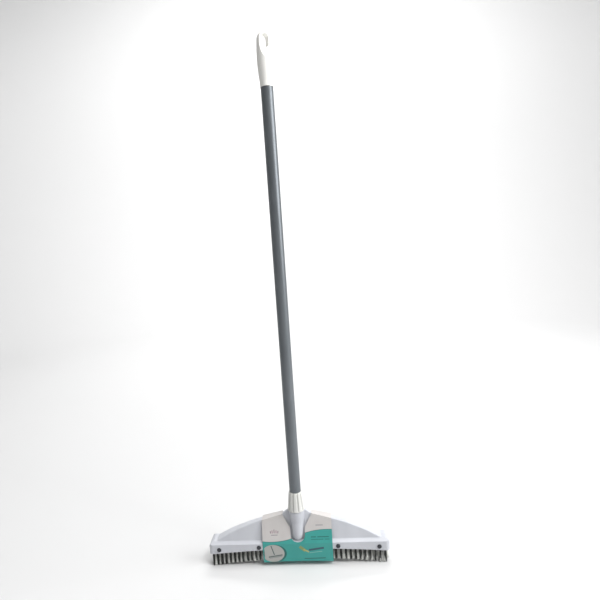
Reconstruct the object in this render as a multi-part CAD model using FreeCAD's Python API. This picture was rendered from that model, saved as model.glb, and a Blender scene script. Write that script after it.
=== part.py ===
import FreeCAD, Part
import math
import os

from FreeCAD import Vector

# Long-handled sweeper: a hooded brush head, a clamping socket, a coated tube and an end grip.
# Millimetres. X runs along the head, -Y is its front, +Z runs up the handle.
# z = 0 is the plane that the tips of the outermost tufts stand on.

os.makedirs("parts", exist_ok=True)

# ---------------------------------------------------------------- driving sizes
# Hood
HEAD_LENGTH = 400.0
HEAD_DEPTH = 42.0
HOOD_WALL = 2.0
EDGE_HEIGHT = 30.0          # lower edge of the hood at its two ends
EDGE_ARCH = 8.7             # how far that edge rises at the middle
BAND_HEIGHT = 22.0          # upright band above the edge, at the ends
SHOULDER_RISE = 5.0         # from the band's lip up to the foot of the sloping faces
SHOULDER_WIDTH = 7.0
RIDGE_DEPTH = 11.0          # depth between the sloping faces at the ridge height
RIDGE_HEIGHT = 112.0
CORNER_ROUND = 12.0         # rounding of the band's two upper corners, seen from the front
PLAN_ROUND = 9.0            # rounding of its four upright corners
RIDGE_ROUND = 3.0
SHOULDER_ROUND = 4.0
LIP_ROUND = 1.0
RIB_THICKNESS = 1.8
RIB_PLACES = (-130.0, -60.0, 60.0, 130.0)

# Socket for the handle, on the front of the hood
TUBE_DIAMETER = 25.0
AXIS_Y = -6.0               # the handle's axis lies in front of the middle of the head
SOCKET_WALL = 2.0
SOCKET_NOSE_HEIGHT = 50.0
SOCKET_NOSE_LENGTH = 22.0
SOCKET_FLOOR_HEIGHT = 66.0
NECK_START = 100.0
NECK_HEIGHT = 124.0
NECK_STEP = 2.1             # width of the ledge between the neck and the spigot
SPIGOT_WALL = 1.9
SPIGOT_LENGTH = 16.0

# Bristle block and tufts
BLOCK_DROP = 2.5            # how far the block's top lies below the lip
BLOCK_RECESS = 0.5          # how far the block's underside sits above the hood's edge
BLOCK_SIDE_WALL = 3.0       # between the outer tuft holes and the block's faces
TUFT_ROOT_RADIUS = 2.5
TUFT_TIP_RADIUS = 3.0
TUFT_HOLE_DEPTH = 5.5
TUFT_INSET = 6.8            # from the head's end to the outermost tuft's centre
TUFT_INSET_FRONT_RIGHT = 10.3
TIP_ARCH = 12.0             # how far the tips rise at the middle
TUFT_PITCH = 10.0
FRONT_PITCH_LEFT = 9.6
FRONT_PITCH_RIGHT = 10.8
MIDDLE_GAP = 5.0            # no tuft centre is nearer to the middle than this
ROWS = 4
ANCHOR_WIDTH = 4.6
ANCHOR_HEIGHT = 0.5
ANCHOR_THICKNESS = 1.4

# Rivets
RIVET_HEAD_RADIUS = 4.75
RIVET_HEAD_HEIGHT = 2.2
RIVET_SHANK_RADIUS = 2.2
RIVET_SHANK_LENGTH = 4.8
OUTER_RIVET_INSET = 23.0    # from the head's end
OUTER_RIVET_RISE = 8.6      # above the hood's edge
INNER_RIVET_X = 87.5
INNER_RIVET_RISE = 6.8

# Clamping nut and collet
NUT_GAP = 1.0               # between the neck and the nut when it is done up
NUT_LENGTH = 42.0
NUT_FOOT_WALL = 3.3
NUT_TOP_WALL = 2.1
NUT_RIM = 4.0               # height of the plain rim at the nut's foot
NUT_BEVEL = 3.0
NUT_BEVEL_WALL = 1.0
FLUTES = 10
FLUTE_RADIUS = 3.4
FLUTE_DEPTH = 1.3
COLLET_SLEEVE_LENGTH = 12.0
COLLET_CONE_LENGTH = 16.0
COLLET_WALL = 0.8
COLLET_SHOULDER = 1.2       # how far the collet's cone stands out over its sleeve
COLLET_TIP_WALL = 0.65
COLLET_SLITS = 4
SLIT_WIDTH = 1.5

# Handle
TUBE_LENGTH = 1000.0
SKIN_THICKNESS = 0.28
TUBE_WALL = 0.5
PLUG_FLANGE = 2.0
PLUG_STEM = 12.0
PLUG_WALL = 1.5

# Grip
GRIP_LENGTH = 104.5
GRIP_BORE_DEPTH = 53.5
GRIP_RIM_WALL = 0.9
GRIP_RIM_HEIGHT = 9.0
GRIP_BELLY_WALL = 3.5
GRIP_GROOVE_RADIUS = 0.8
GRIP_GROOVE_DEPTH = 0.45
GRIP_END_THICKNESS = 11.0   # thickness of the flattened end beside the hanging hole
SCOOP_RADIUS = 70.0         # radius of the two scoops that flatten the end
HOLE_WIDTH = 16.0
HOLE_LENGTH = 26.0
HOLE_CENTRE_BELOW_TOP = 18.0
HOLE_YAW = 38.0             # turn of the hole's axis about the handle, from straight through

# Packaging card
CARD_THICKNESS = 0.5
CARD_LENGTH = 154.0
CARD_OFFSET_X = -1.5
CARD_CUT_MARGIN = 1.5       # from the socket's side to the cut-out's edge
CARD_CUT_FLARE = 32.0       # half the cut-out's width at the ridge
CARD_CUT_FOOT = 4.5         # from the tip of the socket's nose up to the cut-out's foot
CARD_BACK_CUT = 12.0        # how far the cut-out runs below the neck on the back

# Clearances
RUNNING = 0.10              # tube in its bores
CURVED_GAP = 0.30           # between curved faces of pieces that move apart
SEAT_GAP = 0.20             # between pieces that are pushed together
SKIN_GAP = 0.02             # coating on tube
HOLE_GAP = 0.10             # tuft in its hole
CARD_GAP = 0.50             # between the card and the head that it is folded round

# ---------------------------------------------------------------- derived sizes
HALF = HEAD_LENGTH / 2
FAR = 2 * HEAD_LENGTH       # longer than anything that it cuts
LIP_HEIGHT = EDGE_HEIGHT + BAND_HEIGHT
SHOULDER_HEIGHT = LIP_HEIGHT + SHOULDER_RISE
SHOULDER_DEPTH = HEAD_DEPTH - 2 * SHOULDER_WIDTH
BLOCK_TOP = LIP_HEIGHT - BLOCK_DROP
TUFT_HOLE_RADIUS = TUFT_ROOT_RADIUS + HOLE_GAP + (TUFT_TIP_RADIUS - TUFT_ROOT_RADIUS) / 4
OUTER_ROW_Y = HEAD_DEPTH / 2 - HOOD_WALL - SEAT_GAP - BLOCK_SIDE_WALL - TUFT_HOLE_RADIUS
ROW_PITCH = 2 * OUTER_ROW_Y / (ROWS - 1)
END_TUFT_X = HALF - TUFT_INSET
TUBE_RADIUS = TUBE_DIAMETER / 2
BORE_RADIUS = TUBE_RADIUS + RUNNING
STEEL_RADIUS = TUBE_RADIUS - SKIN_THICKNESS - SKIN_GAP
SOCKET_RADIUS = TUBE_RADIUS + SOCKET_WALL
COLLET_SEAT_RADIUS = BORE_RADIUS + COLLET_WALL + RUNNING
SPIGOT_RADIUS = COLLET_SEAT_RADIUS + SPIGOT_WALL
SPIGOT_TOP = NECK_HEIGHT + SPIGOT_LENGTH
NECK_RADIUS = SPIGOT_RADIUS + NECK_STEP
COLLET_CONE_RADIUS = BORE_RADIUS + COLLET_WALL + COLLET_SHOULDER
COLLET_TIP_RADIUS = BORE_RADIUS + COLLET_TIP_WALL
NUT_BOTTOM = NECK_HEIGHT + NUT_GAP
NUT_THREAD_RADIUS = SPIGOT_RADIUS + CURVED_GAP
NUT_BOTTOM_RADIUS = NUT_THREAD_RADIUS + NUT_FOOT_WALL
NUT_BORE_RADIUS = TUBE_RADIUS + CURVED_GAP
NUT_TOP_RADIUS = NUT_BORE_RADIUS + NUT_TOP_WALL
TUBE_BOTTOM = SOCKET_FLOOR_HEIGHT + PLUG_FLANGE
TUBE_TOP = TUBE_BOTTOM + TUBE_LENGTH
GRIP_BOTTOM = TUBE_TOP - GRIP_BORE_DEPTH
GRIP_TOP = GRIP_BOTTOM + GRIP_LENGTH
GRIP_RIM_RADIUS = TUBE_RADIUS + GRIP_RIM_WALL
GRIP_BELLY_RADIUS = TUBE_RADIUS + GRIP_BELLY_WALL
AXIS = Vector(0, AXIS_Y, 0)
UP = Vector(0, 0, 1)


# ---------------------------------------------------------------- helpers
def rounded_wire(corners, place):
    """Closed wire through corners (u, v, radius); each corner with a radius becomes a tangent arc."""
    def unit(a, b):
        length = math.hypot(b[0] - a[0], b[1] - a[1])
        return (b[0] - a[0]) / length, (b[1] - a[1]) / length

    pieces = []
    for i, corner in enumerate(corners):
        before = unit(corner, corners[i - 1])
        after = unit(corner, corners[(i + 1) % len(corners)])
        radius = corner[2]
        if radius == 0:
            pieces.append((corner[:2],))
            continue
        half = math.acos(before[0] * after[0] + before[1] * after[1]) / 2
        run = radius / math.tan(half)
        start = (corner[0] + run * before[0], corner[1] + run * before[1])
        end = (corner[0] + run * after[0], corner[1] + run * after[1])
        bisector = unit((0, 0), (before[0] + after[0], before[1] + after[1]))
        inset = radius / math.sin(half) - radius
        middle = (corner[0] + inset * bisector[0], corner[1] + inset * bisector[1])
        pieces.append((start, middle, end))
    edges = []
    for i, piece in enumerate(pieces):
        if len(piece) == 3:
            edges.append(Part.Arc(*[place(*p) for p in piece]).toShape())
        start = place(*piece[-1])
        end = place(*pieces[(i + 1) % len(pieces)][0])
        if start.distanceToPoint(end) > 1e-6:
            edges.append(Part.LineSegment(start, end).toShape())
    return Part.Wire(edges)


def face_of(corners, place):
    return Part.Face(rounded_wire(corners, place))


def mirrored(corners):
    """The same corners on the other side of the middle, in reverse order."""
    return [(-u, v, radius) for u, v, radius in reversed(corners)]


def revolved(corners, centre, direction=UP):
    """Solid of revolution about a line through centre; corners are (radius, height, rounding)."""
    profile = face_of(corners, lambda r, h: Vector(r, 0, h))
    solid = profile.revolve(Vector(0, 0, 0), UP, 360)
    solid.Placement = FreeCAD.Placement(centre, FreeCAD.Rotation(UP, direction))
    return solid


def column(radius, bottom, top, centre=AXIS):
    return Part.makeCylinder(radius, top - bottom, Vector(centre.x, centre.y, bottom))


def turned(shape, degrees):
    """Copy of a shape, turned about the handle's axis."""
    copy = shape.copy()
    copy.rotate(AXIS, UP, degrees)
    return copy


def save(shape, name):
    """Write the solids of a shape as one sub-part."""
    solids = shape.Solids
    result = solids[0] if len(solids) == 1 else Part.makeCompound(solids)
    if not result.isValid() or min(solid.Volume for solid in solids) <= 0:
        raise ValueError(name + " is not valid")
    result.exportStep("parts/" + name + ".step")
    print(name, len(solids), "solid(s), volume", round(sum(s.Volume for s in solids), 2))


def arch_height(x, end_height, rise, half_span):
    """Height at x of a circular arch that stands on end_height at each end of its span."""
    radius = (half_span ** 2 + rise ** 2) / (2 * rise)
    return end_height + rise - radius + math.sqrt(radius ** 2 - x ** 2)


def below_arch(end_height, rise, half_span):
    """Solid that fills the space under such an arch, right through the head."""
    radius = (half_span ** 2 + rise ** 2) / (2 * rise)
    centre = Vector(0, -FAR / 2, end_height + rise - radius)
    return Part.makeCylinder(radius, FAR, centre, Vector(0, 1, 0))


# ---------------------------------------------------------------- outer form of the head
FRONT_OUTLINE = (
    # x, z, rounding: the right half of the top, seen from the front, from inside the band to the neck
    (HALF, LIP_HEIGHT - 4.5, 0.0),
    (0.75 * HALF, SHOULDER_HEIGHT + 18.0, 120.0),
    (0.50 * HALF, SHOULDER_HEIGHT + 38.0, 200.0),
    (NECK_RADIUS + 13.5, RIDGE_HEIGHT + 1.0, 16.0),
    (NECK_RADIUS + 1.5, NECK_HEIGHT - 2.0, 0.0),
)


def slope_depth(height):
    """Half the depth over the two sloping faces at a height."""
    steepness = (SHOULDER_DEPTH - RIDGE_DEPTH) / 2 / (RIDGE_HEIGHT - SHOULDER_HEIGHT)
    return SHOULDER_DEPTH / 2 - steepness * (height - SHOULDER_HEIGHT)


def form_bars(grow):
    """Bars with the outlines of the top, its sloping faces, the band, its ends and its plan, each grown."""
    right = [(HALF, -FAR, 0)] + list(FRONT_OUTLINE)
    front = face_of(right + mirrored(right), lambda x, z: Vector(x, 0, z))
    ends = [(HALF, -FAR, 0), (HALF, SHOULDER_HEIGHT, CORNER_ROUND)]
    ends = face_of(ends + mirrored(ends), lambda x, z: Vector(x, 0, z))
    low = LIP_HEIGHT - 2 * RIDGE_ROUND
    high = FRONT_OUTLINE[-1][1] + 2
    slopes = [(slope_depth(low), low, 0), (slope_depth(high), high, 0)]
    slopes = face_of(slopes + mirrored(slopes), lambda y, z: Vector(0, y, z))
    band = [(HEAD_DEPTH / 2, -FAR, 0), (HEAD_DEPTH / 2, LIP_HEIGHT, LIP_ROUND),
            (SHOULDER_DEPTH / 2, SHOULDER_HEIGHT, 0)]
    band = face_of(band + mirrored(band), lambda y, z: Vector(0, y, z))
    plan = [(HALF, -HEAD_DEPTH / 2, PLAN_ROUND), (HALF, HEAD_DEPTH / 2, PLAN_ROUND)]
    plan = face_of(plan + mirrored(plan), lambda x, y: Vector(x, y, -FAR))
    if grow:
        front, slopes, band, ends, plan = (face.makeOffset2D(grow)
                                           for face in (front, slopes, band, ends, plan))
    across = Vector(0, FAR, 0)
    along = Vector(FAR, 0, 0)
    return (front.extrude(across).translated(across / -2), slopes.extrude(along).translated(along / -2),
            band.extrude(along).translated(along / -2), ends.extrude(across).translated(across / -2),
            plan.extrude(Vector(0, 0, 2 * FAR)))


def ridge_edges(body):
    """The edges between the sloping faces and the top, from one end of the head to the other."""
    found = []
    for edge in body.Edges:
        box = edge.BoundBox
        slanting = box.XLength > box.YLength and box.ZLength > 0.01
        if slanting and box.ZMax < FRONT_OUTLINE[-1][1] + 1:
            found.append(edge)
    return found


def shoulder_edges(body):
    """The two long inner bends where the sloping faces stand on the shoulders."""
    found = []
    for edge in body.Edges:
        box = edge.BoundBox
        level = abs(box.ZMin - SHOULDER_HEIGHT) < 0.01 and box.ZLength < 0.01
        if level and box.XLength > HALF:
            found.append(edge)
    return found


def head_form(grow, smooth=False):
    """The head's outside without the socket, grown by a distance on every side."""
    front, slopes, band, ends, plan = form_bars(grow)
    upper = front.common(slopes)
    lower = ends.common(band).common(plan)
    if not smooth:
        return upper.fuse(lower)
    upper = upper.makeFillet(RIDGE_ROUND, ridge_edges(upper))
    form = upper.fuse(lower)
    return form.makeFillet(SHOULDER_ROUND, shoulder_edges(form))


# ---------------------------------------------------------------- pieces of the head
def socket_outside():
    """Domed boss that runs up the hood's front into the neck and the spigot."""
    dome_start = SOCKET_NOSE_HEIGHT + SOCKET_NOSE_LENGTH
    dome = Part.makeSphere(SOCKET_RADIUS)
    stretch = FreeCAD.Matrix()
    stretch.scale(1, 1, SOCKET_NOSE_LENGTH / SOCKET_RADIUS)
    dome = dome.transformGeometry(stretch).translated(AXIS + UP * dome_start)
    boss = column(SOCKET_RADIUS, dome_start, NECK_START)
    neck = revolved([
        (0, NECK_START, 0), (SOCKET_RADIUS + 0.6, NECK_START, 0.3), (NECK_RADIUS, NECK_HEIGHT, 0.8),
        (SPIGOT_RADIUS, NECK_HEIGHT, 0), (SPIGOT_RADIUS, SPIGOT_TOP, 0.6), (0, SPIGOT_TOP, 0),
    ], AXIS)
    return dome.fuse([boss, neck])


def hood_edge(x):
    return arch_height(x, EDGE_HEIGHT, EDGE_ARCH, HALF)


def rivet_places():
    """Centres of the rivets on one face of the band, from left to right."""
    outer = HALF - OUTER_RIVET_INSET
    outer_height = hood_edge(outer) + OUTER_RIVET_RISE
    inner_height = hood_edge(INNER_RIVET_X) + INNER_RIVET_RISE
    right = [(INNER_RIVET_X, inner_height), (outer, outer_height)]
    return [(-x, z) for x, z in reversed(right)] + right


def rivet_bore(x, z, side, radius, depth):
    """Round hole from the band's outside inwards, at a rivet's place."""
    start = Vector(x, side * (HEAD_DEPTH / 2 + 1), z)
    return Part.makeCylinder(radius, depth + 1, start, Vector(0, -side, 0))


def all_rivet_bores(radius, depth):
    return [rivet_bore(x, z, side, radius, depth) for side in (-1, 1) for x, z in rivet_places()]


def head_hood():
    socket = socket_outside()
    outside = head_form(0, smooth=True)
    cavity = head_form(-HOOD_WALL).cut(socket)
    ribs = []
    for x in RIB_PLACES:
        rib_foot = BLOCK_TOP + SEAT_GAP
        ribs.append(Part.makeBox(RIB_THICKNESS, HEAD_DEPTH, FAR,
                                 Vector(x - RIB_THICKNESS / 2, -HEAD_DEPTH / 2, rib_foot)))
    cavity = cavity.cut(ribs)
    hood = outside.fuse(socket).cut(cavity)
    hood = hood.cut(below_arch(EDGE_HEIGHT, EDGE_ARCH, HALF))
    bore = column(BORE_RADIUS, SOCKET_FLOOR_HEIGHT, SPIGOT_TOP + 1)
    sleeve_seat = column(COLLET_SEAT_RADIUS, SPIGOT_TOP - COLLET_SLEEVE_LENGTH - SEAT_GAP, SPIGOT_TOP + 1)
    return hood.cut([bore, sleeve_seat] + all_rivet_bores(RIVET_SHANK_RADIUS + RUNNING, HOOD_WALL + 1))


def tuft_places():
    """Rows of tuft centres, from front to back, as lists of x with the row's y."""
    def run(start, pitch):
        count = int((abs(start) - MIDDLE_GAP) / pitch) + 1
        step = -math.copysign(pitch, start)
        return [start + step * i for i in range(count)]

    even = run(-END_TUFT_X, TUFT_PITCH) + run(END_TUFT_X, TUFT_PITCH)
    staggered = [x - math.copysign(TUFT_PITCH / 2, x) for x in even if abs(x) > MIDDLE_GAP + TUFT_PITCH / 2]
    front = run(-END_TUFT_X, FRONT_PITCH_LEFT) + run(HALF - TUFT_INSET_FRONT_RIGHT, FRONT_PITCH_RIGHT)
    rows = (front, staggered, even, staggered)
    return [(xs, i * ROW_PITCH - OUTER_ROW_Y) for i, xs in enumerate(rows)]


def block_underside(x):
    return arch_height(x, EDGE_HEIGHT + BLOCK_RECESS, EDGE_ARCH, HALF)


def tuft_hole_end(x):
    return block_underside(x) + TUFT_HOLE_DEPTH


def tuft(x, y):
    """One tuft: a straight cone from under its anchor down to its cut tip."""
    top = tuft_hole_end(x) - ANCHOR_HEIGHT
    tip = arch_height(x, 0, TIP_ARCH, END_TUFT_X)
    return Part.makeCone(TUFT_TIP_RADIUS, TUFT_ROOT_RADIUS, top - tip, Vector(x, y, tip))


def tuft_anchor(x, y):
    """Flat piece of wire across the closed end of a tuft's hole."""
    corner = Vector(x - ANCHOR_WIDTH / 2, y - ANCHOR_THICKNESS / 2, tuft_hole_end(x) - ANCHOR_HEIGHT)
    return Part.makeBox(ANCHOR_WIDTH, ANCHOR_THICKNESS, ANCHOR_HEIGHT, corner)


def tuft_hole(x, y):
    foot = Vector(x, y, tuft_hole_end(x) - 2 * TUFT_HOLE_DEPTH)
    return Part.makeCylinder(TUFT_HOLE_RADIUS, 2 * TUFT_HOLE_DEPTH, foot)


def bristle_block(rows):
    block = head_form(-HOOD_WALL - SEAT_GAP)
    above = Part.makeBox(FAR, FAR, FAR, Vector(-FAR / 2, -FAR / 2, BLOCK_TOP))
    block = block.cut([above, below_arch(EDGE_HEIGHT + BLOCK_RECESS, EDGE_ARCH, HALF)])
    holes = [tuft_hole(x, y) for xs, y in rows for x in xs]
    return block.cut(holes + all_rivet_bores(RIVET_SHANK_RADIUS + RUNNING, RIVET_SHANK_LENGTH + SEAT_GAP))


def rivet(x, z, side):
    """Push rivet: a domed head outside the band and a shank through it into the block."""
    return revolved([
        (0, -RIVET_SHANK_LENGTH, 0), (RIVET_SHANK_RADIUS, -RIVET_SHANK_LENGTH, 0.5),
        (RIVET_SHANK_RADIUS, 0, 0), (RIVET_HEAD_RADIUS, 0, 0),
        (RIVET_HEAD_RADIUS, RIVET_HEAD_HEIGHT, 1.6), (0, RIVET_HEAD_HEIGHT, 0),
    ], Vector(x, side * HEAD_DEPTH / 2, z), Vector(0, side, 0))


def card_sleeve():
    """Card pulled straight from the lips to the ridge, with a cut-out for the socket and the neck."""
    def envelope(grow):
        high = FRONT_OUTLINE[-1][1] + 2
        tent = [(HEAD_DEPTH / 2, -FAR, 0), (HEAD_DEPTH / 2, LIP_HEIGHT, 0), (slope_depth(high), high, 0)]
        tent = face_of(tent + mirrored(tent), lambda y, z: Vector(0, y, z)).makeOffset2D(grow)
        bar = tent.extrude(Vector(FAR, 0, 0)).translated(Vector(FAR / -2, 0, 0))
        return form_bars(grow)[0].common(bar).cut(below_arch(-grow, TIP_ARCH, END_TUFT_X))

    shell = envelope(CARD_GAP + CARD_THICKNESS).cut(envelope(CARD_GAP))
    left = CARD_OFFSET_X - CARD_LENGTH / 2
    shell = shell.common(Part.makeBox(CARD_LENGTH, FAR, FAR, Vector(left, -FAR / 2, -FAR / 2)))
    half_cut = SOCKET_RADIUS + CARD_CUT_MARGIN
    low = SOCKET_NOSE_HEIGHT + CARD_CUT_FOOT
    right = [(half_cut, low, half_cut - 0.5), (half_cut, NECK_START - SOCKET_RADIUS, 12.0),
             (CARD_CUT_FLARE, RIDGE_HEIGHT, 0), (CARD_CUT_FLARE, 2 * NECK_HEIGHT, 0)]
    outline = face_of(right + mirrored(right), lambda x, z: Vector(x, AXIS_Y, z))
    front_cut = outline.extrude(Vector(0, -FAR, 0))
    back_foot = Vector(-CARD_CUT_FLARE, AXIS_Y, NECK_START - CARD_BACK_CUT)
    back_cut = Part.makeBox(2 * CARD_CUT_FLARE, FAR, FAR, back_foot)
    return shell.cut([front_cut, back_cut])


# ---------------------------------------------------------------- nut and collet
def nut_radius(height):
    """Outer radius of the nut's tapered wall at a height above its plain rim."""
    start = NUT_BOTTOM + NUT_RIM
    end = NUT_BOTTOM + NUT_LENGTH - NUT_BEVEL
    return NUT_BOTTOM_RADIUS + (NUT_TOP_RADIUS - NUT_BOTTOM_RADIUS) * (height - start) / (end - start)


def collar_nut():
    top = NUT_BOTTOM + NUT_LENGTH
    cone_foot = SPIGOT_TOP + 2 * CURVED_GAP
    cone_end = cone_foot + COLLET_CONE_LENGTH
    body = revolved([
        (NUT_THREAD_RADIUS, NUT_BOTTOM, 0.4), (NUT_BOTTOM_RADIUS, NUT_BOTTOM, 0.8),
        (NUT_BOTTOM_RADIUS, NUT_BOTTOM + NUT_RIM, 0), (NUT_TOP_RADIUS, top - NUT_BEVEL, 0),
        (NUT_BORE_RADIUS + NUT_BEVEL_WALL, top, 0.4), (NUT_BORE_RADIUS, top, 0),
        (NUT_BORE_RADIUS, cone_end, 0), (COLLET_TIP_RADIUS + CURVED_GAP, cone_end, 0),
        (COLLET_CONE_RADIUS + CURVED_GAP, cone_foot, 0), (NUT_THREAD_RADIUS, cone_foot, 0),
    ], AXIS)
    low = NUT_BOTTOM + NUT_RIM
    high = top - NUT_BEVEL
    out = FLUTE_RADIUS - FLUTE_DEPTH
    foot = AXIS + Vector(nut_radius(low) + out, 0, low)
    run = Vector(nut_radius(high) - nut_radius(low), 0, high - low)
    flute = Part.makeCylinder(FLUTE_RADIUS, run.Length + NUT_BEVEL, foot, run)
    flute = flute.fuse(Part.makeSphere(FLUTE_RADIUS, foot))
    return body.cut([turned(flute, 360.0 * i / FLUTES) for i in range(FLUTES)])


def split_collet():
    foot = SPIGOT_TOP - COLLET_SLEEVE_LENGTH
    top = SPIGOT_TOP + COLLET_CONE_LENGTH
    sleeve = BORE_RADIUS + COLLET_WALL
    body = revolved([
        (BORE_RADIUS, foot, 0), (sleeve, foot, 0), (sleeve, SPIGOT_TOP, 0),
        (COLLET_CONE_RADIUS, SPIGOT_TOP, 0), (COLLET_TIP_RADIUS, top, 0), (BORE_RADIUS, top, 0),
    ], AXIS)
    slits = []
    for i in range(COLLET_SLITS):
        slit = Part.makeBox(2 * TUBE_DIAMETER, SLIT_WIDTH, FAR,
                            Vector(0, AXIS_Y - SLIT_WIDTH / 2, foot + COLLET_SLEEVE_LENGTH / 3))
        slits.append(turned(slit, 45 + 360.0 * i / COLLET_SLITS))
    return body.cut(slits)


# ---------------------------------------------------------------- handle
def tube(outer, wall, bottom, length):
    return column(outer, bottom, bottom + length).cut(column(outer - wall, bottom - 1, bottom + length + 1))


def tube_end_plug():
    stem = STEEL_RADIUS - TUBE_WALL - SKIN_GAP
    flange = TUBE_RADIUS - RUNNING
    return revolved([
        (0, TUBE_BOTTOM - PLUG_FLANGE, 0), (flange, TUBE_BOTTOM - PLUG_FLANGE, 0.8),
        (flange, TUBE_BOTTOM, 0), (stem, TUBE_BOTTOM, 0), (stem, TUBE_BOTTOM + PLUG_STEM, 0.8),
        (stem - PLUG_WALL, TUBE_BOTTOM + PLUG_STEM, 0), (stem - PLUG_WALL, TUBE_BOTTOM, 0.8),
        (0, TUBE_BOTTOM, 0),
    ], AXIS)


def grip():
    """Turned shape with a plain rim, flattened at its end by two scoops and pierced by an oval hole."""
    rim_top = GRIP_BOTTOM + GRIP_RIM_HEIGHT
    side = Part.BSplineCurve()
    side.interpolate([
        Vector(GRIP_RIM_RADIUS, 0, rim_top),
        Vector(GRIP_BELLY_RADIUS, 0, GRIP_BOTTOM + 0.50 * GRIP_LENGTH),
        Vector(0.93 * GRIP_BELLY_RADIUS, 0, GRIP_BOTTOM + 0.78 * GRIP_LENGTH),
        Vector(0.66 * GRIP_BELLY_RADIUS, 0, GRIP_BOTTOM + 0.95 * GRIP_LENGTH),
        Vector(0, 0, GRIP_TOP),
    ], InitialTangent=Vector(0.1, 0, 1), FinalTangent=Vector(-1, 0, 0))
    foot = [Vector(0, 0, GRIP_TOP), Vector(0, 0, GRIP_BOTTOM), Vector(GRIP_RIM_RADIUS, 0, GRIP_BOTTOM),
            Vector(GRIP_RIM_RADIUS, 0, rim_top)]
    straight = [Part.LineSegment(a, b).toShape() for a, b in zip(foot, foot[1:])]
    body = Part.Face(Part.Wire(straight + [side.toShape()])).revolve(Vector(0, 0, 0), UP, 360)
    groove_middle = GRIP_RIM_RADIUS + GRIP_GROOVE_RADIUS - GRIP_GROOVE_DEPTH
    groove = Part.makeTorus(groove_middle, GRIP_GROOVE_RADIUS, Vector(0, 0, rim_top))

    hole_height = GRIP_TOP - HOLE_CENTRE_BELOW_TOP
    reach = GRIP_END_THICKNESS / 2 + SCOOP_RADIUS
    along = Vector(1, 0, 0)
    scoops = [Part.makeCylinder(SCOOP_RADIUS, FAR, Vector(-FAR / 2, side * reach, hole_height), along)
              for side in (-1, 1)]
    end_rise = (HOLE_LENGTH - HOLE_WIDTH) / 2
    hole = [Part.makeCylinder(HOLE_WIDTH / 2, FAR, Vector(0, -FAR / 2, hole_height + step), Vector(0, 1, 0))
            for step in (-end_rise, end_rise)]
    hole.append(Part.makeBox(HOLE_WIDTH, FAR, 2 * end_rise,
                             Vector(-HOLE_WIDTH / 2, -FAR / 2, hole_height - end_rise)))
    body = body.cut([groove] + scoops + hole)
    body.rotate(Vector(0, 0, 0), UP, HOLE_YAW)
    body.translate(AXIS)
    return body.cut(column(TUBE_RADIUS + SKIN_GAP, GRIP_BOTTOM - 1, TUBE_TOP))


# ---------------------------------------------------------------- build
rows = tuft_places()
row_names = ("tufts_front", "tufts_grey_front", "tufts_grey_rear", "tufts_rear")

save(head_hood(), "head_hood")
save(bristle_block(rows), "bristle_block")
for name, (xs, y) in zip(row_names, rows):
    save(Part.makeCompound([tuft(x, y) for x in xs]), name)
save(Part.makeCompound([tuft_anchor(x, y) for xs, y in rows for x in xs]), "tuft_anchors")
for side, word in ((-1, "front"), (1, "rear")):
    for number, (x, z) in enumerate(rivet_places(), 1):
        save(rivet(x, z, side), "rivet_%s_%d" % (word, number))
save(card_sleeve(), "card_sleeve")
save(collar_nut(), "collar_nut")
save(split_collet(), "split_collet")
save(tube(STEEL_RADIUS, TUBE_WALL, TUBE_BOTTOM, TUBE_LENGTH), "steel_tube")
save(tube(TUBE_RADIUS, SKIN_THICKNESS, TUBE_BOTTOM, TUBE_LENGTH), "tube_skin")
save(tube_end_plug(), "tube_end_plug")
save(grip(), "grip")
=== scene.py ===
import math

import bpy
import numpy as np
from mathutils import Matrix, Vector


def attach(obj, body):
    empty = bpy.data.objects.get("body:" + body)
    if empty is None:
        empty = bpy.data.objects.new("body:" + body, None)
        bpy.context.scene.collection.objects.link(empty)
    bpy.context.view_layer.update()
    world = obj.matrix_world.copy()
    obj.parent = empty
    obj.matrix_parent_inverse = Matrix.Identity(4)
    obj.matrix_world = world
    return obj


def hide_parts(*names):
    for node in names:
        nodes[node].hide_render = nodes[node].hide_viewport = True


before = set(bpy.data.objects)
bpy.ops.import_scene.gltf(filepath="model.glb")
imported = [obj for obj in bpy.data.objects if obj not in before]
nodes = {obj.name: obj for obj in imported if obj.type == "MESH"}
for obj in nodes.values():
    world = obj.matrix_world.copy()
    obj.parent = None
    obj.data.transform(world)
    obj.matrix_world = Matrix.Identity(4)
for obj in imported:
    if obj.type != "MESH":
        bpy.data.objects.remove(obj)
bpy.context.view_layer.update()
MM = 0.001


# ---------------------------------------------------------------- camera
# A hand-held camera a little to the right of the sweeper and two thirds of the way up, turned and
# tipped down slightly, and rolled so that the handle leans to the left.
CAMERA_PLACE = Vector((0.102, -0.976, 0.707))
CAMERA_TURN = math.radians(3.77)
CAMERA_TIP = math.radians(-7.0)
CAMERA_ROLL = math.radians(-3.74)
FRAME_WIDTHS_AWAY = 470 / 600

camera_data = bpy.data.cameras.new("camera")
camera_data.sensor_width = 36.0
camera_data.lens = camera_data.sensor_width * FRAME_WIDTHS_AWAY
camera_data.clip_start = 0.01
camera = bpy.data.objects.new("camera", camera_data)
bpy.context.scene.collection.objects.link(camera)
upright = Matrix.Rotation(math.radians(90), 4, "X")
camera.matrix_world = (Matrix.Translation(CAMERA_PLACE) @ Matrix.Rotation(CAMERA_TURN, 4, "Z")
                       @ Matrix.Rotation(CAMERA_TIP, 4, "X") @ upright @ Matrix.Rotation(CAMERA_ROLL, 4, "Z"))
bpy.context.scene.camera = camera
bpy.context.scene.view_settings.view_transform = "Standard"


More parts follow.
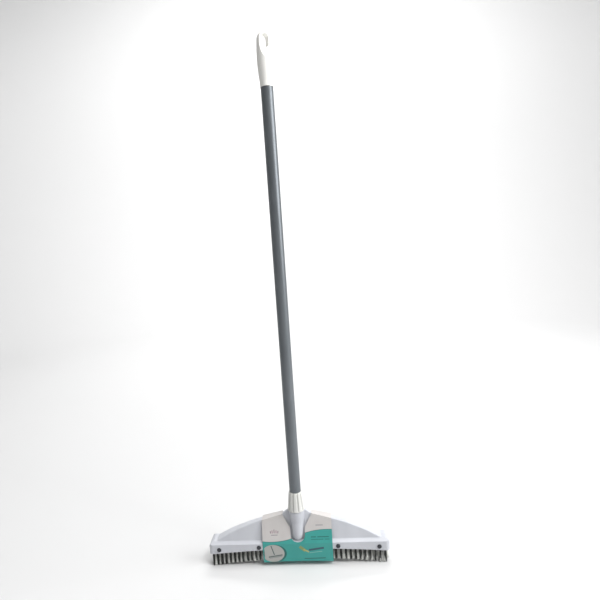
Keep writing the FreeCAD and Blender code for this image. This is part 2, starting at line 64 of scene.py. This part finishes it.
# ---------------------------------------------------------------- hood
# One injection moulding in polypropylene with a silver-grey masterbatch. The mould was spark eroded
# to a fine even grain, so the surface is satin, with a slow drift of shade where the plastic flowed.
def add(tree, kind, inputs=(), **settings):
    """Adds one shader node with its settings. An input given as a socket is linked, any other is set."""
    node = tree.nodes.new(kind)
    for name, value in settings.items():
        setattr(node, name, value)
    for key, value in dict(inputs).items():
        if isinstance(value, bpy.types.NodeSocket):
            tree.links.new(value, node.inputs[key])
        else:
            node.inputs[key].default_value = value
    return node


def linear(hex_colour):
    """Linear RGBA of an sRGB colour written as a hex string."""
    channels = [int(hex_colour[i:i + 2], 16) / 255 for i in (0, 2, 4)]
    return tuple(c / 12.92 if c <= 0.04045 else ((c + 0.055) / 1.055) ** 2.4 for c in channels) + (1.0,)


def new_material(name, **shader):
    """An empty material: its tree, its Principled shader with those constants, and object coordinates."""
    material = bpy.data.materials.new(name)
    material.use_nodes = True
    tree = material.node_tree
    principled = tree.nodes["Principled BSDF"]
    for key, value in shader.items():
        principled.inputs[key.replace("_", " ")].default_value = value
    place = add(tree, "ShaderNodeTexCoord").outputs["Object"]
    return material, tree, principled, place


FLOW_SIZE = 40 * MM
MARK_SIZE = 9 * MM


def moulded(name, dark, light, roughness=(0.32, 0.46), grain_mm=0.35, grain_depth_mm=0.012, **shader):
    """Moulded plastic: a slow drift of shade along the flow, fine eroded grain and faint handling marks."""
    material, tree, principled, place = new_material(name, **shader)
    stretched = add(tree, "ShaderNodeMapping", {"Vector": place, "Scale": (1.0, 1.0, 0.35)})
    flow = add(tree, "ShaderNodeTexNoise", {"Vector": stretched.outputs[0], "Scale": 1 / FLOW_SIZE,
                                            "Detail": 3.0})
    shade = add(tree, "ShaderNodeValToRGB", {"Fac": flow.outputs["Fac"]})
    shade.color_ramp.elements[0].position = 0.3
    shade.color_ramp.elements[1].position = 0.7
    shade.color_ramp.elements[0].color = linear(dark)
    shade.color_ramp.elements[1].color = linear(light)
    tree.links.new(shade.outputs["Color"], principled.inputs["Base Color"])
    marks = add(tree, "ShaderNodeTexNoise", {"Vector": place, "Scale": 1 / MARK_SIZE, "Detail": 6.0,
                                             "Roughness": 0.65})
    gloss = add(tree, "ShaderNodeMapRange", {"Value": marks.outputs["Fac"], "From Min": 0.35, "From Max": 0.7,
                                             "To Min": roughness[0], "To Max": roughness[1]})
    tree.links.new(gloss.outputs[0], principled.inputs["Roughness"])
    grain = add(tree, "ShaderNodeTexNoise", {"Vector": place, "Scale": 1 / (grain_mm * MM), "Detail": 2.0})
    relief = add(tree, "ShaderNodeBump", {"Height": grain.outputs["Fac"], "Strength": 0.6,
                                          "Distance": grain_depth_mm * MM})
    tree.links.new(relief.outputs[0], principled.inputs["Normal"])
    return material


def dress(node_names, material):
    """Gives CAD nodes their material."""
    for name in node_names:
        mesh = nodes[name].data
        mesh.materials.clear()
        mesh.materials.append(material)


hood_plastic = moulded("silver_grey_polypropylene_moulded", "B9BBC1", "C3C5CB")
dress(["head_hood"], hood_plastic)


# ---------------------------------------------------------------- bristle block and anchors
# The block is a plain grey moulding that the tufts are punched into. Each tuft is folded over a flat
# brass-plated wire anchor, which is driven across the bottom of its hole.
dress(["bristle_block"], moulded("grey_polypropylene_moulded", "8F9190", "9C9E9D", roughness=(0.45, 0.6)))
dress(["tuft_anchors"], moulded("brass_plated_steel_wire", "A88F4E", "BFA868", Metallic=1.0))


# ---------------------------------------------------------------- tufts
# Bundles of crimped polyester filament, 0.5 mm thick, cut to length after they are set. The outer
# rows are black. The inner ones are light grey, spread wider, and come forward between the black ones.
FILAMENT_RADIUS = 0.29 * MM
CRIMP_LENGTH = 9 * MM
CRIMP_HEIGHT = 0.22 * MM
CRIMP_START = 1 / 4         # how far down a filament its crimp has come to full height
TUFT_BREAK = 2 * MM         # two points further apart than this along the head are in two tufts
ROOT_SPREAD = 2.1 * MM
TIP_INSET = 0.25 * MM
TUFT_LEAN = 0.5 * MM
STRAY = 0.12 * MM
ROOT_DROP = 1.0 * MM
UNEVEN_CUT = 0.35 * MM
SEGMENTS = 12
SIDES = 3
FIBRE_SIZE = 0.6 * MM
FIBRE_RELIEF = 0.02 * MM


def tuft_centres(name):
    """Middle of each tuft's tip, of its root, and its tip's radius, read from the node's own cones."""
    mesh = nodes[name].data
    points = np.empty(len(mesh.vertices) * 3)
    mesh.vertices.foreach_get("co", points)
    points = points.reshape(-1, 3)
    order = np.argsort(points[:, 0])
    points = points[order]
    breaks = np.flatnonzero(np.diff(points[:, 0]) > TUFT_BREAK) + 1
    groups = np.split(points, breaks)
    tips = np.array([[g[:, 0].mean(), g[:, 1].mean(), g[:, 2].min()] for g in groups])
    roots = np.array([[g[:, 0].mean(), g[:, 1].mean(), g[:, 2].max()] for g in groups])
    radii = np.array([np.ptp(g[:, 0]) / 2 for g in groups])
    return tips, roots, radii


def filament_mesh(name, seed, strands, flare, forward, bend):
    """Filaments of a row of tufts as thin three-sided tubes.

    A filament starts at a point of the tuft's root disc and ends at the matching point of its wider
    tip disc, which is flared and moved forward, plus the tuft's own lean. On the way it waves: its
    middle line is moved sideways by crimp height times sin(2 pi z / crimp length + phase), in a
    direction of its own. The bend is the power of the way along that the sideways run goes with."""
    rng = np.random.default_rng(seed)
    tips, roots, radii = tuft_centres(name)
    count = len(tips)
    shape = (count, strands)
    spread = np.sqrt(rng.random(shape))
    angle = rng.random(shape) * 2 * np.pi
    disc = np.stack([spread * np.cos(angle), spread * np.sin(angle)], -1)
    lean = rng.normal(0, TUFT_LEAN, (count, 1, 2))
    stray = rng.normal(0, STRAY, shape + (2,))
    start = roots[:, None, :2] + disc * ROOT_SPREAD
    end = tips[:, None, :2] + disc * (radii * flare - TIP_INSET)[:, None, None] + lean + stray
    end[..., 1] -= forward
    top = np.broadcast_to(roots[:, None, 2] - ROOT_DROP, shape)
    low = tips[:, None, 2] + np.abs(rng.normal(0, UNEVEN_CUT, shape))
    along = np.linspace(0, 1, SEGMENTS + 1)
    line = np.empty(shape + (SEGMENTS + 1, 3))
    line[..., :2] = start[..., None, :] + (end - start)[..., None, :] * along[:, None] ** bend
    line[..., 2] = top[..., None] + (low - top)[..., None] * along
    phase = rng.random(shape)[..., None] * 2 * np.pi
    wave = CRIMP_HEIGHT * np.sin(2 * np.pi * line[..., 2] / CRIMP_LENGTH + phase)
    wave *= np.minimum(along / CRIMP_START, 1)
    heading = rng.random(shape) * np.pi
    line[..., 0] += wave * np.cos(heading)[..., None]
    line[..., 1] += wave * np.sin(heading)[..., None]
    around = np.arange(SIDES) / SIDES * 2 * np.pi
    ring = np.stack([np.cos(around), np.sin(around), 0 * around], -1) * FILAMENT_RADIUS
    points = (line[..., None, :] + ring).reshape(-1, 3)
    total = count * strands
    rows = (SEGMENTS + 1) * SIDES
    step = np.arange(SEGMENTS)[:, None] * SIDES
    side = np.arange(SIDES)[None, :]
    after = (side + 1) % SIDES
    quads = np.stack([step + side, step + side + SIDES, step + after + SIDES, step + after], -1).reshape(-1, 4)
    quads = (quads[None] + (np.arange(total) * rows)[:, None, None]).reshape(-1, 4)
    ends = np.arange(total)[:, None] * rows + np.arange(SIDES)[None, ::-1] + SEGMENTS * SIDES
    faces = quads.tolist() + ends.tolist()
    mesh = bpy.data.meshes.new(name + "_filaments")
    mesh.from_pydata(points, [], faces)
    mesh.validate()
    shade = mesh.attributes.new("strand", "FLOAT", "POINT")
    shade.data.foreach_set("value", np.repeat(rng.random(total), rows).astype(np.float32))
    return mesh


def filament_material(name, dark, light):
    """Drawn filament: glossy, with its shade varying from strand to strand."""
    material, tree, principled, place = new_material(name)
    strand = add(tree, "ShaderNodeAttribute", attribute_name="strand")
    shade = add(tree, "ShaderNodeMix", {"Factor": strand.outputs["Fac"]}, data_type="RGBA")
    shade.inputs[6].default_value = linear(dark)
    shade.inputs[7].default_value = linear(light)
    tree.links.new(shade.outputs[2], principled.inputs["Base Color"])
    fibre = add(tree, "ShaderNodeTexNoise", {"Vector": place, "Scale": 1 / FIBRE_SIZE, "Detail": 2.0})
    gloss = add(tree, "ShaderNodeMapRange", {"Value": fibre.outputs["Fac"], "To Min": 0.3, "To Max": 0.5})
    tree.links.new(gloss.outputs[0], principled.inputs["Roughness"])
    relief = add(tree, "ShaderNodeBump", {"Height": fibre.outputs["Fac"], "Strength": 0.3,
                                          "Distance": FIBRE_RELIEF})
    tree.links.new(relief.outputs[0], principled.inputs["Normal"])
    return material


def place_piece(name, mesh, material, body, replaced):
    """A finished mesh as a piece of the object, riding on a body and standing for a CAD node."""
    piece = bpy.data.objects.new(name, mesh)
    bpy.context.scene.collection.objects.link(piece)
    mesh.materials.clear()
    mesh.materials.append(material)
    mesh.polygons.foreach_set("use_smooth", np.full(len(mesh.polygons), True))
    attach(piece, body)
    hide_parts(replaced)


black_filament = filament_material("black_polyester_filament", "242624", "3C3F3B")
grey_filament = filament_material("light_grey_polyester_filament", "E6E7E1", "F6F7F3")
ROWS = (
    # node, filament, slot, strands in a tuft, how much the tips flare, how far they lean forward, bend
    ("tufts_front", black_filament, "black_bristle", 60, 0.95, 0.0, 1.4),
    ("tufts_grey_front", grey_filament, "grey_bristle", 105, 1.45, 8.0 * MM, 0.7),
    ("tufts_grey_rear", grey_filament, "grey_bristle", 90, 1.6, 3.0 * MM, 0.9),
    ("tufts_rear", black_filament, "black_bristle", 60, 1.0, 0.0, 1.4),
)
for seed, (row, material, slot_name, strands, flare, forward, bend) in enumerate(ROWS, 11):
    strand_mesh = filament_mesh(row, seed, strands, flare, forward, bend)
    place_piece(row + "_filaments", strand_mesh, material, "head", row)


# ---------------------------------------------------------------- rivets
# Push rivets in dark blue-grey nylon with shallow domed heads, pressed through the band by hand.
rivet_names = [name for name in nodes if name.startswith("rivet_")]
dress(rivet_names, moulded("dark_nylon_moulded", "1C1E25", "262931", roughness=(0.3, 0.45)))


# ---------------------------------------------------------------- card sleeve
# Carton board, 0.5 mm thick, coated on its outer face, printed in flat colours and folded round the
# head. White above and teal below, with an outline of the sweeper on a pale disc, and plain marks.
BOARD = "B9B4B2"
TEAL = "2F8F88"
DEEP_TEAL = "1B5F5B"
WAVE_SPAN = 0.16
WAVE_TOP = 0.1
WAVE_LINE = 1.2 * MM
WAVE = ((-0.0785, 0.0576), (-0.051, 0.0565), (-0.015, 0.0620), (0.018, 0.0740), (0.045, 0.0790),
        (0.0755, 0.0797))
DISC = (-0.0565, 0.0301, 0.0200)
DISC_STRETCH = 1.25
DISC_LEFT_END = -0.0755
SHADOW_SHIFT = (4.6 * MM, -0.3 * MM)
SHADOW_GROWTH = 0.4 * MM
SOFT_EDGE = 0.25 * MM
FOLD_EDGE = 0.5 * MM


def number(tree, operation, *values, clamp=False):
    """One arithmetic node."""
    return add(tree, "ShaderNodeMath", dict(enumerate(values)), operation=operation, use_clamp=clamp).outputs[0]


def inside(tree, distance):
    """1 where a signed distance is negative and 0 where it is positive, with a soft printed edge."""
    return add(tree, "ShaderNodeMapRange", {"Value": distance, "From Min": SOFT_EDGE, "From Max": -SOFT_EDGE}
               ).outputs[0]


def disc_mask(tree, x, z, centre_x, centre_z, radius):
    """Inside of a disc stretched sideways: the length of the offset from its centre, less its radius."""
    across = number(tree, "DIVIDE", number(tree, "SUBTRACT", x, centre_x), DISC_STRETCH)
    up = number(tree, "SUBTRACT", z, centre_z)
    squares = number(tree, "ADD", number(tree, "MULTIPLY", across, across), number(tree, "MULTIPLY", up, up))
    return inside(tree, number(tree, "SUBTRACT", number(tree, "SQRT", squares), radius))


def bar_mask(tree, x, z, start, end, width):
    """Inside of a straight bar: the greater of the distances beyond its ends and beyond its sides."""
    run = math.hypot(end[0] - start[0], end[1] - start[1])
    ux, uz = (end[0] - start[0]) / run, (end[1] - start[1]) / run
    across = number(tree, "SUBTRACT", x, (start[0] + end[0]) / 2)
    up = number(tree, "SUBTRACT", z, (start[1] + end[1]) / 2)
    along = number(tree, "ADD", number(tree, "MULTIPLY", across, ux), number(tree, "MULTIPLY", up, uz))
    aside = number(tree, "SUBTRACT", number(tree, "MULTIPLY", up, ux), number(tree, "MULTIPLY", across, uz))
    beyond = number(tree, "SUBTRACT", number(tree, "ABSOLUTE", along), run / 2)
    beside = number(tree, "SUBTRACT", number(tree, "ABSOLUTE", aside), width / 2)
    return inside(tree, number(tree, "MAXIMUM", beyond, beside))


def printed(tree, under, mask, colour):
    """A flat ink over what lies under it."""
    mix = add(tree, "ShaderNodeMix", {"Factor": mask}, data_type="RGBA")
    for slot_number, value in ((6, under), (7, colour)):
        if isinstance(value, str):
            mix.inputs[slot_number].default_value = linear(value)
        else:
            tree.links.new(value, mix.inputs[slot_number])
    return mix.outputs[2]


def printed_card():
    """The card's inks, laid on in printing order over the bare board."""
    material, tree, principled, place = new_material("white_carton_board_printed_and_coated")
    axes = add(tree, "ShaderNodeSeparateXYZ", {0: place})
    x, y, z = axes.outputs
    curve = add(tree, "ShaderNodeFloatCurve", {"Value": number(tree, "MULTIPLY_ADD", x, 1 / WAVE_SPAN, 0.5)})
    points = curve.mapping.curves[0].points
    for wave_x, wave_z in WAVE[1:-1]:
        points.new(wave_x / WAVE_SPAN + 0.5, wave_z / WAVE_TOP)
    for point, (wave_x, wave_z) in zip((points[0], points[-1]), (WAVE[0], WAVE[-1])):
        point.location = (wave_x / WAVE_SPAN + 0.5, wave_z / WAVE_TOP)
    curve.mapping.update()
    above = number(tree, "SUBTRACT", z, number(tree, "MULTIPLY", curve.outputs[0], WAVE_TOP))
    front = add(tree, "ShaderNodeMapRange", {"Value": y, "From Min": FOLD_EDGE, "From Max": -FOLD_EDGE}
                ).outputs[0]
    drift = add(tree, "ShaderNodeTexNoise", {"Vector": place, "Scale": 1 / (30 * MM), "Detail": 2.0})
    board = printed(tree, BOARD, drift.outputs["Fac"], "C6C3C1")
    teal = printed(tree, TEAL, drift.outputs["Fac"], "389A92")
    picture = printed(tree, board, inside(tree, above), teal)
    line = inside(tree, number(tree, "SUBTRACT", number(tree, "ABSOLUTE", above), WAVE_LINE / 2))
    picture = printed(tree, picture, line, "2A6F6C")

    disc_x, disc_z, disc_radius = DISC
    shade = disc_mask(tree, x, z, disc_x + SHADOW_SHIFT[0], disc_z + SHADOW_SHIFT[1],
                      disc_radius + SHADOW_GROWTH)
    disc = disc_mask(tree, x, z, disc_x, disc_z, disc_radius)
    margin = inside(tree, number(tree, "SUBTRACT", DISC_LEFT_END, x))
    picture = printed(tree, picture, number(tree, "MULTIPLY", front, shade), DEEP_TEAL)
    picture = printed(tree, picture, number(tree, "MULTIPLY", margin, number(tree, "MULTIPLY", front, disc)),
                      "A9A9A5")
    marks = (
        # start, end, width and ink: the sweeper in the disc
        ((-0.0605, 0.0480), (-0.0540, 0.0265), 2.1 * MM, "4A5A5C"),
        ((-0.0670, 0.0215), (-0.0360, 0.0262), 3.0 * MM, "5E6867"),
        ((-0.0655, 0.0185), (-0.0370, 0.0230), 1.4 * MM, "7C8482"),
        # a row of five upright bars with a line under them
        ((-0.0600, 0.0740), (-0.0605, 0.0790), 1.6 * MM, "7B5F6B"),
        ((-0.0562, 0.0740), (-0.0567, 0.0802), 1.6 * MM, "93667A"),
        ((-0.0520, 0.0742), (-0.0522, 0.0820), 1.6 * MM, "7B5F6B"),
        ((-0.0478, 0.0740), (-0.0476, 0.0802), 1.6 * MM, "93667A"),
        ((-0.0438, 0.0740), (-0.0433, 0.0790), 1.6 * MM, "7B5F6B"),
        ((-0.0590, 0.0705), (-0.0445, 0.0705), 1.3 * MM, "77707A"),
        # a leaf of two strokes with two bars beside it
        ((0.0030, 0.0450), (0.0150, 0.0350), 6.5 * MM, "7F8F5A"),
        ((0.0110, 0.0380), (0.0230, 0.0320), 3.2 * MM, "A5A468"),
        ((0.0230, 0.0365), (0.0560, 0.0410), 4.4 * MM, "2F4F5C"),
        ((0.0240, 0.0300), (0.0520, 0.0330), 1.2 * MM, "7FB3AA"),
        # plain rules
        ((0.0120, 0.0165), (0.0590, 0.0170), 2.2 * MM, "1F5F5D"),
        ((0.0290, 0.0650), (0.0400, 0.0650), 1.8 * MM, "1E5E5C"),
        ((0.0430, 0.0650), (0.0680, 0.0650), 1.8 * MM, "1E5E5C"),
        ((0.0290, 0.0600), (0.0560, 0.0600), 1.6 * MM, "26706C"),
        ((0.0590, 0.0600), (0.0690, 0.0600), 1.6 * MM, "26706C"),
        ((0.0400, 0.0890), (0.0560, 0.0890), 2.6 * MM, "9E9B9D"),
    )
    for start, end, width, ink in marks:
        mask = number(tree, "MULTIPLY", front, bar_mask(tree, x, z, start, end, width))
        picture = printed(tree, picture, mask, ink)
    tree.links.new(picture, principled.inputs["Base Color"])

    fibre = add(tree, "ShaderNodeTexNoise", {"Vector": place, "Scale": 1 / (0.8 * MM), "Detail": 3.0})
    gloss = add(tree, "ShaderNodeMapRange", {"Value": fibre.outputs["Fac"], "To Min": 0.28, "To Max": 0.42})
    tree.links.new(gloss.outputs[0], principled.inputs["Roughness"])
    buckle = add(tree, "ShaderNodeTexNoise", {"Vector": place, "Scale": 1 / (45 * MM), "Detail": 1.0})
    height = number(tree, "MULTIPLY_ADD", buckle.outputs["Fac"], 40.0, fibre.outputs["Fac"])
    relief = add(tree, "ShaderNodeBump", {"Height": height, "Strength": 0.5, "Distance": 0.03 * MM})
    tree.links.new(relief.outputs[0], principled.inputs["Normal"])
    return material


dress(["card_sleeve"], printed_card())


# ---------------------------------------------------------------- nut and collet
# The nut is moulded in milky white polypropylene. Its flutes are painted greyer than its ribs: painted shade
# in the grooves, laid into the base colour by how deep each point lies below the cone.
AXIS_Y = -6 * MM
NUT_FOOT = (129 * MM, 19.0 * MM)
NUT_HEAD = (164 * MM, 14.9 * MM)
FLUTES = 10
FLUTE_RADIUS = 3.4 * MM
FLUTE_DEPTH = 1.3 * MM
# the grey used as painted shade in the flutes
FLUTE_PAINTED_SHADE = "B4B4B0"
NUT_SPOKES = 240
NUT_RINGS = 22
NUT_CREASE = math.radians(40)
ROUND_CORNERS = 4           # corners of the profile at each of its ends that the flutes don't reach


def nut_mesh():
    """Closed ring: a profile of radius and height turned about the axis, with the flutes cut in.

    A flute is a round groove of radius R about a line a distance c from the axis, so at an angle a from
    its middle the surface is at c cos a - sqrt(R^2 - (c sin a)^2) where that is less than the cone's
    radius. Below the cone's foot the groove ends in a ball, so R shrinks as on a sphere."""
    rise = np.linspace(0, 1, NUT_RINGS)
    cone = np.stack([NUT_FOOT[1] + (NUT_HEAD[1] - NUT_FOOT[1]) * rise,
                     NUT_FOOT[0] + (NUT_HEAD[0] - NUT_FOOT[0]) * rise], 1)
    foot = np.array([(15.7, 125.4), (16.1, 125.0), (18.2, 125.0), (18.8, 125.25), (19.0, 125.8), (19.0, 126.6),
                     (19.0, 127.4), (19.0, 128.2)]) * MM
    top = np.array([(14.2, 165.9), (13.9, 166.7), (13.5, 167.0), (12.8, 167.0), (12.8, 156.0),
                    (15.7, 141.0)]) * MM
    profile = np.concatenate([foot, cone, top])
    angle = np.arange(NUT_SPOKES) / NUT_SPOKES * 2 * np.pi
    off = (angle + np.pi / FLUTES) % (2 * np.pi / FLUTES) - np.pi / FLUTES
    radius, height = profile[:, :1], profile[:, 1:]
    centre = radius + FLUTE_RADIUS - FLUTE_DEPTH
    ball = np.maximum(FLUTE_RADIUS ** 2 - np.maximum(NUT_FOOT[0] - height, 0) ** 2, 0)
    half_chord = ball - (centre * np.sin(off)) ** 2
    groove = np.where(half_chord > 0, centre * np.cos(off) - np.sqrt(np.maximum(half_chord, 0)), radius)
    fluted = slice(ROUND_CORNERS, len(profile) - ROUND_CORNERS)
    radius = np.repeat(radius, NUT_SPOKES, 1)
    radius[fluted] = np.minimum(groove, radius)[fluted]
    points = np.stack([radius * np.cos(angle), AXIS_Y + radius * np.sin(angle),
                       np.broadcast_to(height, radius.shape)], -1).reshape(-1, 3)
    ring = np.arange(len(profile))[:, None] * NUT_SPOKES
    above = (ring + NUT_SPOKES) % (len(profile) * NUT_SPOKES)
    here = np.arange(NUT_SPOKES)[None]
    after = (here + 1) % NUT_SPOKES
    quads = np.stack([ring + here, ring + after, above + after, above + here], -1).reshape(-1, 4)
    mesh = bpy.data.meshes.new("fluted_nut")
    mesh.from_pydata(points, [], quads.tolist())
    mesh.validate()
    return mesh


def nut_plastic():
    """Milky plastic with painted shade in the flutes: greyer by the depth below the nut's cone, which is cone
    radius at z less distance from the axis.
    """
    material = moulded("milky_white_polypropylene_with_painted_flute_shade", "CFCFCB", "DCDCD9", roughness=(0.26, 0.38))
    tree = material.node_tree
    principled = tree.nodes["Principled BSDF"]
    skin = principled.inputs["Base Color"].links[0].from_socket
    x, y, z = add(tree, "ShaderNodeSeparateXYZ", {0: add(tree, "ShaderNodeTexCoord").outputs["Object"]}).outputs
    aside = number(tree, "SUBTRACT", y, AXIS_Y)
    squares = number(tree, "ADD", number(tree, "MULTIPLY", x, x), number(tree, "MULTIPLY", aside, aside))
    taper = (NUT_HEAD[1] - NUT_FOOT[1]) / (NUT_HEAD[0] - NUT_FOOT[0])
    cone = number(tree, "MULTIPLY_ADD", z, taper, NUT_FOOT[1] - taper * NUT_FOOT[0])
    below = number(tree, "SUBTRACT", cone, number(tree, "SQRT", squares))
    # painted shade: the deeper a point lies below the cone, the more of the flute grey goes into its base
    # colour
    depth = add(tree, "ShaderNodeMapRange", {"Value": below, "From Min": FLUTE_DEPTH / 10,
                                             "From Max": FLUTE_DEPTH})
    on_cone = add(tree, "ShaderNodeMapRange", {"Value": z, "From Min": NUT_HEAD[0],
                                               "From Max": NUT_HEAD[0] - MM})
    grey = printed(tree, skin, number(tree, "MULTIPLY", depth.outputs[0], on_cone.outputs[0]), FLUTE_PAINTED_SHADE)
    tree.links.new(grey, principled.inputs["Base Color"])
    return material


nut_skin = nut_mesh()
place_piece("fluted_nut", nut_skin, nut_plastic(), "nut", "collar_nut")
nut_skin.set_sharp_from_angle(angle=NUT_CREASE)
dress(["split_collet"], moulded("natural_acetal_moulded", "D8D6CC", "E4E2D8"))


# ---------------------------------------------------------------- tube
# Thin welded steel tube with a grey PVC coating extruded over it.
dress(["tube_skin"], moulded("metallic_grey_pvc_coating_extruded", "63686C", "6D7276", roughness=(0.34, 0.42),
                             Metallic=0.45))
dress(["steel_tube"], moulded("galvanised_steel_tube", "9A9C9E", "B0B2B4", Metallic=1.0))
dress(["tube_end_plug"], moulded("black_polyethylene_moulded", "3A3B3C", "454647"))


# ---------------------------------------------------------------- grip
# White polypropylene, moulded in one piece over a core, with a satin polish.
dress(["grip"], moulded("white_polypropylene_moulded", "EFEEE9", "F5F4F0"))


# ---------------------------------------------------------------- floor and light
# A white studio bowl: a flat floor that curves up all round, lit softly from above and from the right.
FLOOR_RADIUS = 3.0
BOWL_RADIUS = 2.0
FLAT_RINGS = (0.02, 1.0)
WALL_TOP = 4.0
BOWL_RINGS = 24
BOWL_SPOKES = 96


def bowl_mesh():
    """Surface of revolution: flat out to the floor radius, then a quarter circle up to a short wall."""
    bend = np.linspace(0, np.pi / 2, BOWL_RINGS)
    rim = FLOOR_RADIUS + BOWL_RADIUS
    radius = np.concatenate([FLAT_RINGS, FLOOR_RADIUS + BOWL_RADIUS * np.sin(bend), [rim]])
    height = np.concatenate([[0, 0], BOWL_RADIUS * (1 - np.cos(bend)), [WALL_TOP]])
    spoke = np.arange(BOWL_SPOKES) / BOWL_SPOKES * 2 * np.pi
    points = np.stack([radius[:, None] * np.cos(spoke), radius[:, None] * np.sin(spoke),
                       np.repeat(height[:, None], BOWL_SPOKES, 1)], -1).reshape(-1, 3)
    ring = np.arange(len(radius) - 1)[:, None] * BOWL_SPOKES
    here = np.arange(BOWL_SPOKES)[None]
    after = (here + 1) % BOWL_SPOKES
    quads = np.stack([ring + here, ring + BOWL_SPOKES + here, ring + BOWL_SPOKES + after, ring + after], -1)
    mesh = bpy.data.meshes.new("studio_bowl")
    mesh.from_pydata(points, [], quads.reshape(-1, 4).tolist() + [list(range(BOWL_SPOKES))])
    mesh.polygons.foreach_set("use_smooth", np.full(len(mesh.polygons), True))
    return mesh


paper, paper_tree, paper_shader, paper_place = new_material("white_backdrop_paper", Roughness=0.9)
paper_shader.inputs["Base Color"].default_value = linear("D4D4D4")
bowl = bpy.data.objects.new("studio_bowl", bowl_mesh())
bowl.data.materials.append(paper)
bpy.context.scene.collection.objects.link(bowl)


def area_light(name, place, target, size, watts, colour=(1, 1, 1)):
    """A square soft light at a place, facing a target."""
    data = bpy.data.lights.new(name, "AREA")
    data.size = size
    data.energy = watts
    data.color = colour
    light = bpy.data.objects.new(name, data)
    light.location = place
    light.rotation_euler = (Vector(target) - Vector(place)).to_track_quat("-Z", "Y").to_euler()
    bpy.context.scene.collection.objects.link(light)


area_light("window", (2.1, -0.45, 1.3), (0, 0, 0.55), 1.4, 48, (0.99, 0.995, 1.0))
area_light("skylight", (1.3, -1.1, 3.0), (0, 0, 0.2), 1.2, 62)
area_light("ceiling", (0, 0.2, 3.4), (0, 0, 0), 1.4, 42)
area_light("backdrop", (0, 2.4, 3.4), (0, 4.8, 0.4), 2.4, 150)

world = bpy.data.worlds.new("soft_white")
world.use_nodes = True
world.node_tree.nodes["Background"].inputs["Color"].default_value = (1, 1, 1, 1)
world.node_tree.nodes["Background"].inputs["Strength"].default_value = 0.12
bpy.context.scene.world = world
